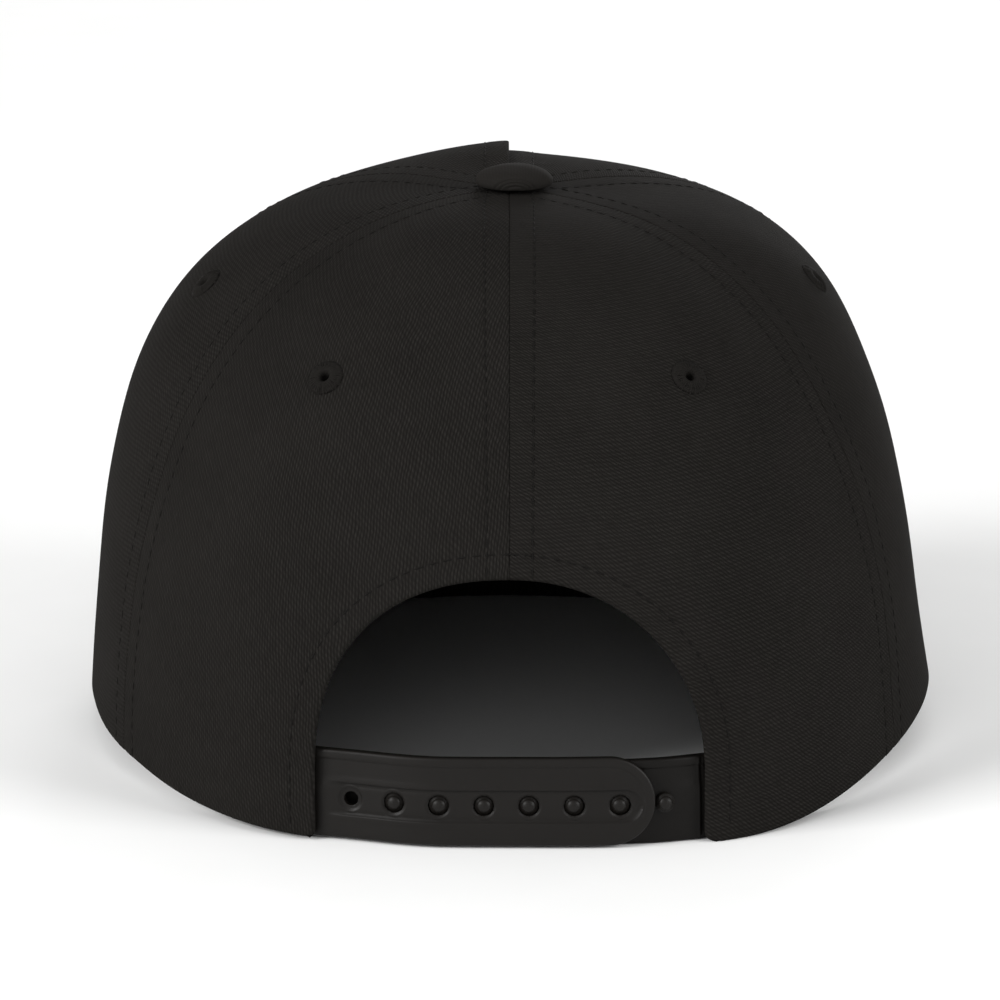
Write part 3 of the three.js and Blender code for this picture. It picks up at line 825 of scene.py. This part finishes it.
wound_ring = winding_tree()
eyelet_thread = thread_finish("eyelet_thread", (0.0070, 0.0063, 0.0056), (0.0125, 0.0113, 0.0101))
for count, (side, (gore, edges)) in enumerate(crown_cuts.items()):
    core = turned_mesh(f"core_{side}", RING_CORE, 40)
    ring = grown_mesh(f"wound_eyelet_{side}", core, wound_ring,
                      {**WINDING, "Seed": 11 + count, "Finish": eyelet_thread})
    place, facing = gore.raised(eyelet_spot(gore)[None], np.zeros(1))
    tilt = Vector((0, 0, 1)).rotation_difference(Vector(facing[0])).to_matrix().to_4x4()
    ring.transform(Matrix.Translation(Vector(place[0]) * MM + AXIS) @ tilt)
    add_piece(f"wound_eyelet_{side}", ring, None, "eyelet_thread", f"eyelet_{side}")

# Button
# A metal shell covered with the crown's twill, gathered under its edge. Its shank passes between
# the panels' tips and is closed over a disc inside.
BUTTON_RADIUS, BUTTON_SKIRT, BUTTON_TOP = 8.4, 1.6, 5.05     # heights above the panels' tips
BUTTON_UNDER = ((0, -3.3), (4.7, -3.3), (5.0, -3.1), (5.0, -2.6), (4.7, -2.4), (1.5, -2.4),
                (1.5, 0.62), (4.5, 0.7), (7.6, 0.72), (8.1, 0.85), (8.32, 1.15))    # radius, height
BUTTON_ASIDE = 1.1           # the cover sits this far to the right of its shank
FOLDS = {"beside": 0.2, "below": 1.3, "radii": (1.6, 2.3, 3.0), "depth": 0.3, "width": 0.22}
GATHERS = {"count": 23, "depth": 0.06}
BUTTON_WAVES = {"height": 0.12, "size": 6, "seed": 8}
climbs = np.linspace(0, np.pi / 2, 60)[:-1]
dome_heights = BUTTON_SKIRT + (BUTTON_TOP - BUTTON_SKIRT) * np.sin(climbs) ** 0.95
dome = zip(BUTTON_RADIUS * np.cos(climbs), dome_heights)
button_mesh = turned_mesh("covered_button", [*BUTTON_UNDER, *dome, (0, BUTTON_TOP)], 200)
shape = np.empty(len(button_mesh.vertices) * 3)
button_mesh.vertices.foreach_get("co", shape)
shape = shape.reshape(-1, 3) / MM
fold_middle = (FOLDS["beside"], -BUTTON_RADIUS, BUTTON_SKIRT - FOLDS["below"])
from_fold = np.linalg.norm((shape - fold_middle) * (0.6, 1, 1), axis=1)
creases = sum(-FOLDS["depth"] * ridge(from_fold - r, FOLDS["width"]) for r in FOLDS["radii"])
bearing = np.arctan2(shape[:, 0], -shape[:, 1])
creases += GATHERS["depth"] * np.sin(GATHERS["count"] * bearing) * smooth(shape[:, 2], 2.6, 1.2)
creases = (creases + gentle_waves(shape, **BUTTON_WAVES)) * smooth(shape[:, 2], 0.7, 1.3)
outward = shape - (0, 0, BUTTON_SKIRT - 3)
shape += creases[:, None] * outward / np.linalg.norm(outward, axis=1, keepdims=True)
shape[:, 0] += BUTTON_ASIDE * smooth(shape[:, 2], 0.3, 0.6)
shape += CENTRE + (0, 0, CROWN_HEIGHT)
button_mesh.vertices.foreach_set("co", (shape * MM).ravel())
button_mesh.update()
# The button's twill is painted 1.2 times as light as the crown's: painted light on the dome.
add_piece("covered_button", button_mesh, twill_finish("button_twill", 0.12, 1.2), "button_twill", "button")

# Bill
# A flat stiff board covered above and below with twill, which is turned in round the edge. Rows
# of stitches that follow the outer edge hold both covers to the board.
BILL = {"half_width": 94.0, "reach": 165.0, "thickness": 3.4, "end_azimuth": 118.0, "fullness": 2.5,
        "shoulder": 96.0, "flare": 26.0}
BILL_FOLD = {"radius": 1.6, "depth": 1.45}
BILL_RINGS = (0.1, 0.25, 0.5, 0.9, 1.6)
BILL_ROWS = [5.0 + 7.0 * k for k in range(10)]
BILL_STEP, BILL_ROW_END = 1.9, 4.6           # rows stop this far from the back edge
QUILT = {"sink": 0.26, "width": 0.75}
ROWS_BELOW = 0.25            # height of the lower rows, at which their threads clear the floor


def bill_edges():
    """The bill's outer edge, and its back edge inside the crown."""
    azimuth = np.linspace(360 - BILL["end_azimuth"], BILL["end_azimuth"], 200)
    back = round_axis(azimuth, crown_section(azimuth)["radius"] - CLOTH, 0)[:, :2]
    start, shoulder = back[-1], BILL["shoulder"]
    bend, top = np.array([BILL["half_width"], shoulder - BILL["flare"]]), (BILL["half_width"], shoulder)
    t = np.linspace(0, 1, 40, endpoint=False)[:, None]
    side = (1 - t) ** 2 * start + 2 * t * (1 - t) * bend + t ** 2 * np.array(top)
    angle = np.linspace(0, np.pi, 400)
    power = 2 / BILL["fullness"]
    front = np.column_stack([
        np.sign(np.cos(angle)) * BILL["half_width"] * abs(np.cos(angle)) ** power,
        shoulder + (BILL["reach"] - shoulder) * np.sin(angle) ** power])
    outer = np.vstack([side, front, side[::-1] * (-1, 1)])
    return {"outer": evenly(outer, 1.3), "back": evenly(back, 1.3)}


bill_cut = bill_edges()
bill_rows = []
for distance in BILL_ROWS:
    row = beside(bill_cut["outer"], distance)
    row = row[within(np.vstack([line[:-1] for line in bill_cut.values()]), row)]
    bill_rows += unbroken(row[distance_to(bill_cut["back"], row)[0] > BILL_ROW_END], 4.0)


def bill_relief(flat):
    """How far the covers draw back from the board's two faces at the edge and along the rows."""
    gap, along = distance_to(bill_cut["outer"], flat)
    pull = sum(ridge(gap - row, QUILT["width"]) for row in BILL_ROWS)
    clear = smooth(distance_to(bill_cut["back"], flat)[0], 2.4, 4.2)
    needle = 0.8 + 0.2 * np.cos(2 * np.pi * along / STITCH_PITCH)
    return -rolled(gap, **BILL_FOLD) + QUILT["sink"] * pull * needle * clear


rings_by_rows = tuple(row + k for row in BILL_ROWS for k in (-0.7, 0.0, 0.7))
bill_flat, bill_triangles = cut_flat(bill_cut, {"outer": BILL_RINGS + rings_by_rows}, BILL_STEP)
drawn = bill_relief(bill_flat)
bill_faces = [np.column_stack([bill_flat, height])
              for height in (BILL["thickness"] - drawn, LOWEST + drawn)]
add_piece("covered_bill", wall_mesh("covered_bill", bill_flat, bill_triangles, *bill_faces, 60),
          twill_finish("bill_twill", 0.7), "bill_twill", "bill")
quilting = []
for row in bill_rows:
    above = BILL["thickness"] - bill_relief(row) + ABOVE_CLOTH
    for height, up in ((above, 1), (above * 0 + ROWS_BELOW, -1)):
        quilting.append((np.column_stack([row, height]), np.tile((0, 0, up), (len(row), 1))))
sew("bill_stitches", quilting, 0.2, 3, 5)

# Sweatband
# A strip of the same twill folded over a thin padding, sewn in round the rim and open behind the
# strap, with a row of stitches near its top and one near the rim.
BAND = {"top": 32.0, "thickness": 1.4, "end": 25.5, "gap": 0.3, "strap_room": 2.3, "ease_from": 34.0,
        "ease_to": 42.0}
BAND_ROWS = (3.0, 26.5)      # above the band's lower edge
BAND_WAVES = {"height": 0.12, "size": 17, "seed": 2}
BAND_QUILT = {"sink": 0.18, "width": 0.9}
BAND_ROW_END = 0.8           # degrees from the band's ends
BAND_RADIUS = 93             # at which its pattern is measured


def band_at(azimuth, height, behind):
    """Point at a depth behind the band's outer face, at a height above its lower edge."""
    bottom = crown_section(azimuth)["rim"] + BAND["gap"]
    level = bottom + (BAND["top"] - bottom) * height / BAND["top"]
    ease = smooth(abs(turned(azimuth)), BAND["ease_to"], BAND["ease_from"])
    radius = crown_radius(azimuth, level) - CLOTH - BAND["gap"] - BAND["strap_room"] * ease - behind
    return round_axis(azimuth, radius, level)


BAND_FOLDS = {"above": 0.7, "below": 0.5}        # how far the folds stand past the flat of the band
climb = np.linspace(BAND_FOLDS["below"], BAND["top"] - BAND_FOLDS["above"], 22)
bend = np.linspace(0, np.pi, 7)[1:-1]
half = BAND["thickness"] / 2
sunk = BAND_QUILT["sink"] * sum(ridge(climb[::-1] - row, BAND_QUILT["width"]) for row in BAND_ROWS)
padded_side = BAND["thickness"] - sunk
section_depth = np.concatenate([climb * 0, half - half * np.cos(bend), padded_side,
                                half + half * np.cos(bend)])
section_height = np.concatenate([climb, climb[-1] + BAND_FOLDS["above"] * np.sin(bend), climb[::-1],
                                 climb[0] - BAND_FOLDS["below"] * np.sin(bend)])
azimuths = np.linspace(BAND["end"], 360 - BAND["end"], 361)
waves = gentle_waves(np.column_stack([azimuths, azimuths * 0]), **BAND_WAVES)[:, None]
swell = waves * (section_depth > half) * smooth(section_height, 26, 12)
band_points = band_at(azimuths[:, None], section_height[None], section_depth[None] + swell)
size, last = len(section_depth), len(section_depth) * (len(azimuths) - 1)
here, there = np.arange(size), np.roll(np.arange(size), -1)
strip = np.column_stack([here, here + size, there + size, there])
band_faces = np.vstack([strip + first for first in range(0, last, size)]).tolist()
band_faces += [here[::-1].tolist(), (here + last).tolist()]
run = np.cumsum(np.hypot(np.diff(section_depth, prepend=0), np.diff(section_height, prepend=climb[0])))
band_pattern = np.stack(np.broadcast_arrays(np.radians(azimuths[:, None]) * BAND_RADIUS, run[None]), axis=-1)
band_mesh = patterned_mesh("folded_sweatband", band_points.reshape(-1, 3) + CENTRE, band_faces,
                           band_pattern.reshape(-1, 2) @ np.array([(0.6, 0.8), (-0.8, 0.6)]))
# The band's twill is painted twice as light as the crown's: painted light for the dim inside of the crown.
add_piece("folded_sweatband", band_mesh, twill_finish("band_twill", 0.6, 2.0), "band_twill", "sweatband")
band_runs = []
for row in BAND_ROWS:
    azimuth = np.linspace(BAND["end"] + BAND_ROW_END, 360 - BAND["end"] - BAND_ROW_END, 420)
    thread_line = band_at(azimuth, row, BAND["thickness"] + ABOVE_CLOTH)
    band_runs.append((thread_line, round_axis(azimuth, -1, 0)))
sew("band_stitches", band_runs, 0.2, 3, 6)

# Snap strap
# Two moulded tongues of matte black plastic sewn in behind the arch's sides. The outer one has
# seven holes in a sunk track and a raised border, and the inner one's pegs snap into the holes.
STRAP_RADIUS = 97.5          # of the arc along which the tongues' lengths are measured
STRAP_THICKNESS, STRAP_SEWN, STRAP_TIP = 1.8, 54.45, 9.2
HOLE_TONGUE, PEG_TONGUE = {"bottom": 0.6, "height": 18.7}, {"bottom": 0.2, "height": 17.8}
SNAPS = [-33.44 + 9.35 * k for k in range(8)]
SNAP_HEIGHT, SNAP_HOLE, FREE_HOLE = 9.1, 2.15, 1.55      # the hole without a peg is not stretched
TRACK = {"start": -37.9, "end": 26.9, "half": 3.35, "depth": 0.4, "lip": 0.2}
TONGUE_EDGE = {"radius": 0.7, "depth": 0.45}
BORDER = {"width": 1.9, "depth": 0.3}       # along the top edge
SINK = {"radius": 2.7, "depth": 0.3}         # round each hole
TONGUE_RINGS = (0.1, 0.25, 0.45, 0.7, 1.2, 1.6, 1.8, 2.0, 2.3)
TONGUE_GAP = 0.3
HOLE_TONGUE_STEP, PEG_TONGUE_STEP = 0.75, 1.0
END_LINE = {"at": 39.6, "ridge": 0.2, "groove": 0.12}    # moulded across the peg tongue by the arch
FREE_END = 1.8               # the peg tongue's round end stands this much further in
LEFT_INSET, RIGHT_INSET = 2.5, 0.4           # how far the strap goes in behind the arch's sides
PEG = {"Radius": 1.5 * MM, "Rise": 2.25 * MM, "Dome": 1.0 * MM, "Root": 1.0 * MM, "Collar": 1.35,
       "Collar Rise": 1.25 * MM}


def strap_at(flat, depth):
    """Point at a depth behind the outer tongue's face, for a length along it and a height."""
    azimuth = np.degrees(flat[:, 0] / STRAP_RADIUS)
    radius = crown_radius(azimuth, flat[:, 1]) - LEFT_INSET * smooth(-azimuth, 8, 21) - depth
    return round_axis(azimuth, radius, flat[:, 1])


def tongue_edges(sewn, tip, bottom, height):
    """A tongue's outline, anticlockwise, with a round end at its tip."""
    side = 1 if tip > sewn else -1
    half, middle = height / 2, bottom + height / 2
    angle = np.linspace(-np.pi / 2, np.pi / 2, 60) * side
    reach = min(STRAP_TIP, half)
    end = np.column_stack([tip - side * reach * (1 - np.cos(angle)), middle + half * np.sin(angle)])
    corners = np.array([(sewn, middle - side * half), (sewn, middle + side * half)])
    return {"border": evenly(np.vstack([corners[0], end, corners[1]]), 0.6),
            "sewn": evenly(corners[::-1], 0.6)}


def track_gap(flat):
    """How far outside the sunk track a point lies, less than nothing inside it."""
    beyond = np.maximum(0, flat[:, 0] - (TRACK["end"] - TRACK["half"]))
    return np.hypot(beyond, flat[:, 1] - SNAP_HEIGHT) - TRACK["half"]


def tongue_relief(edges, flat):
    """The rounded edge, and the face sunk below the border along the top edge."""
    gap, _ = distance_to(edges["border"], flat)
    upper = smooth(flat[:, 1], SNAP_HEIGHT + 2, SNAP_HEIGHT + 5)
    sunk = BORDER["depth"] * smooth(gap, BORDER["width"] - 0.2, BORDER["width"] + 0.1) * upper
    return rolled(gap, **TONGUE_EDGE) - sunk


def tongue_mesh(name, edges, flat, triangles, depth, relief):
    """A tongue at a depth behind the outer one's face, with the relief given on its own face."""
    back = 0.6 * rolled(distance_to(edges["border"], flat)[0], **TONGUE_EDGE)
    return wall_mesh(name, flat, triangles, strap_at(flat, depth - relief),
                     strap_at(flat, depth + STRAP_THICKNESS + back))


hole_edges = tongue_edges(-STRAP_SEWN, 29.66, **HOLE_TONGUE)
round_end = np.linspace(-np.pi / 2, np.pi / 2, 40)
round_end = np.column_stack([np.cos(round_end), np.sin(round_end)])
guides = []
for reach in (TRACK["half"] - 0.15, TRACK["half"] + 0.08, TRACK["half"] + 0.4):
    line = (TRACK["end"] - TRACK["half"], SNAP_HEIGHT) + reach * round_end
    start, end = (TRACK["start"], SNAP_HEIGHT - reach), (TRACK["start"], SNAP_HEIGHT + reach)
    guides.append(evenly(np.vstack([start, line, end]), 0.55))
hole_rings = (SNAP_HOLE, SNAP_HOLE + 0.12, SNAP_HOLE + 0.3, SINK["radius"], SINK["radius"] + 0.2)
holes = [(np.array((a, SNAP_HEIGHT)), hole_rings) for a in SNAPS[:7]]
holes[0] = (holes[0][0], (FREE_HOLE, FREE_HOLE + 0.2, *hole_rings))
flat, triangles = cut_flat(hole_edges, {"border": TONGUE_RINGS}, HOLE_TONGUE_STEP, holes, guides)
outside_track = track_gap(flat)
track = TRACK["depth"] * smooth(outside_track, 0.1, -0.17) + TRACK["lip"] * (
    ridge(outside_track + 0.2, 0.16) - ridge(outside_track - 0.3, 0.2))
track *= smooth(flat[:, 0], TRACK["start"] - 1, TRACK["start"] + 4)
from_snap = np.min([np.hypot(*(flat - (a, SNAP_HEIGHT)).T) for a in SNAPS[:7]], axis=0)
sunk = SINK["depth"] * smooth(from_snap, SINK["radius"], SNAP_HOLE)
relief = tongue_relief(hole_edges, flat) - track - sunk


def plastic_finish(name, shade):
    """Matte black moulded plastic: a fine even grain over a faint unevenness."""
    finish = Finish(name)
    x, y = finish.pattern()
    grain = finish.noise(x * 3.2, y * 3.2, 1.0, 3.0)
    cloudy = finish.noise(x * 0.09, y * 0.14, 4.0)
    tone = grain * 0.5 + cloudy * 0.7 - 0.1
    dark, light = ([shade * c for c in colour] for colour in (PLASTIC_DARK, PLASTIC_LIGHT))
    return finish.surface(finish.blend(tone, dark, light), 0.38 + grain * 0.16, grain, 0.03 * MM,
                          {"Specular IOR Level": 0.2 * shade})


PLASTIC_DARK, PLASTIC_LIGHT = (0.0042, 0.0034, 0.0028), (0.0070, 0.0059, 0.0048)
strap_plastic = plastic_finish("strap_plastic", 1.0)
painted_shade_plastic = plastic_finish("painted_shade_plastic", 0.7)      # painted shade: a darker, less glossy copy of the strap plastic for the recessed inner tongue
hole_tongue = tongue_mesh("hole_tongue", hole_edges, flat, triangles, 0, relief)
add_piece("hole_tongue", hole_tongue, strap_plastic, "strap_plastic", "strap_holes")

peg_edges = tongue_edges(STRAP_SEWN, -37.0, **PEG_TONGUE)
height = np.linspace(PEG_TONGUE["bottom"], PEG_TONGUE["bottom"] + PEG_TONGUE["height"], 35)
guides = [np.column_stack([height * 0 + END_LINE["at"] + beyond, height])
          for beyond in (-0.4, -0.15, 0.15, 0.4, 0.65, 0.9)]
flat, triangles = cut_flat(peg_edges, {"border": TONGUE_RINGS}, PEG_TONGUE_STEP, (), guides)
azimuth = np.degrees(flat[:, 0] / STRAP_RADIUS)
depth = (STRAP_THICKNESS + TONGUE_GAP + RIGHT_INSET * smooth(azimuth, 18, 24)
         + FREE_END * smooth(-azimuth, 15.5, 20))
past_line = flat[:, 0] - END_LINE["at"]
relief = (tongue_relief(peg_edges, flat) + END_LINE["ridge"] * ridge(past_line, 0.25)
          - END_LINE["groove"] * ridge(past_line - 0.6, 0.22))
peg_tongue = tongue_mesh("peg_tongue", peg_edges, flat, triangles, depth, relief)
add_piece("peg_tongue", peg_tongue, painted_shade_plastic, "strap_plastic", "strap_pegs")


def peg_tree():
    """A round-headed peg with a collar on every point of a mesh, standing the way the point faces."""
    sizes = ("Radius", "Rise", "Dome", "Root", "Collar", "Collar Rise")
    tree, given = node_tree("peg_row", "Places", sizes)
    stem = placed(tree, "GeometryNodeCurvePrimitiveLine", {
        "Start": corner(tree, 0.0, given["Root"] * -1), "End": corner(tree, 0.0, given["Rise"])})
    steps = placed(tree, "GeometryNodeResampleCurve", {"Curve": stem, "Count": 40}, mode="COUNT")
    share = placed(tree, "GeometryNodeSplineParameter")
    below_top = (given["Rise"] + given["Root"]) * (1 - share)
    into_dome = (1 - below_top / given["Dome"]).at_least(0.0).at_most(0.998)
    in_collar = below_top.above(given["Rise"] - given["Collar Rise"])
    girth = (1 - into_dome ** 2) ** 0.5 + in_collar * (given["Collar"] - 1)
    peg = tube(tree, steps, given["Radius"], 32, girth)
    end_tree(tree, copies(tree, given["Places"], peg, standing(tree)), given["Finish"])
    return tree


peg_flat = np.array([(a, SNAP_HEIGHT) for a in SNAPS[1:]])
ahead = strap_at(peg_flat + (0.5, 0), 0) - strap_at(peg_flat - (0.5, 0), 0)
peg_facing = np.cross(ahead, (0, 0, 1))
peg_facing /= np.linalg.norm(peg_facing, axis=1, keepdims=True)
peg_places = path_mesh("peg_places", [(strap_at(peg_flat, STRAP_THICKNESS + TONGUE_GAP), peg_facing)])
add_piece("snap_pegs", grown_mesh("snap_pegs", peg_places, peg_tree(), {**PEG, "Finish": strap_plastic}),
          None, "strap_plastic")

# Floor, light and camera
# A plain pale floor under large soft lights, seen from behind and a little above.
floor_mesh = bpy.data.meshes.new("floor")
floor_mesh.from_pydata([(x, y, 0) for x, y in ((-9, -9), (9, -9), (9, 9), (-9, 9))], [], [(0, 1, 2, 3)])
floor = linked("floor", floor_mesh)
paper = Finish("pale_floor")
paper_grain = paper.grain(40.0)
floor_mesh.materials.append(paper.surface(
    paper.blend(paper_grain, (0.90, 0.90, 0.895), (0.93, 0.93, 0.925)), 0.9 + paper_grain * 0.05,
    paper_grain, 0.02 * MM, {"Specular IOR Level": 0.1}))

world = bpy.data.worlds.new("studio")
bpy.context.scene.world = world
world.use_nodes = True
world.node_tree.nodes["Background"].inputs["Color"].default_value = (1, 1, 1, 1)
world.node_tree.nodes["Background"].inputs["Strength"].default_value = 0.45


def set_up(name, data, place, ahead):
    """An object at a place, looking ahead."""
    thing = linked(name, data)
    thing.location, thing.rotation_mode = place, "QUATERNION"
    thing.rotation_quaternion = ahead.to_track_quat("-Z", "Y")
    return thing


def softbox(name, place, size, watts):
    """A square light that looks at the cap."""
    light = bpy.data.lights.new(name, "AREA")
    light.shape, light.size, light.energy = "SQUARE", size, watts
    set_up(name, light, place, -Vector(place))


softbox("left_light", (-2.1, -1.25, 1.2), 1.2, 66)
softbox("right_light", (2.2, -1.1, 1.0), 1.2, 40)
softbox("top_light", (0.2, 0.5, 2.4), 2.4, 6)
softbox("rear_light", (-0.3, -2.7, 1.1), 1.2, 5)
softbox("front_light", (0.6, 2.6, 0.8), 1.2, 24)

CAMERA_DISTANCE = 1.1
CAMERA_ELEVATION = math.radians(15)
CAMERA_FOCUS = 4950.0        # focal length in pixels of the 1000 pixel wide picture
SENSOR = 36.0
aim = AXIS + Vector((-2.0, 0, 48.3)) * MM
ahead = Vector((0, math.cos(CAMERA_ELEVATION), -math.sin(CAMERA_ELEVATION)))
lens = bpy.data.cameras.new("camera")
lens.sensor_width, lens.lens = SENSOR, SENSOR * CAMERA_FOCUS / 1000
lens.clip_start, lens.clip_end = 0.05, 60
bpy.context.scene.camera = set_up("camera", lens, aim - CAMERA_DISTANCE * ahead, ahead)
bpy.context.scene.view_settings.view_transform = "Standard"
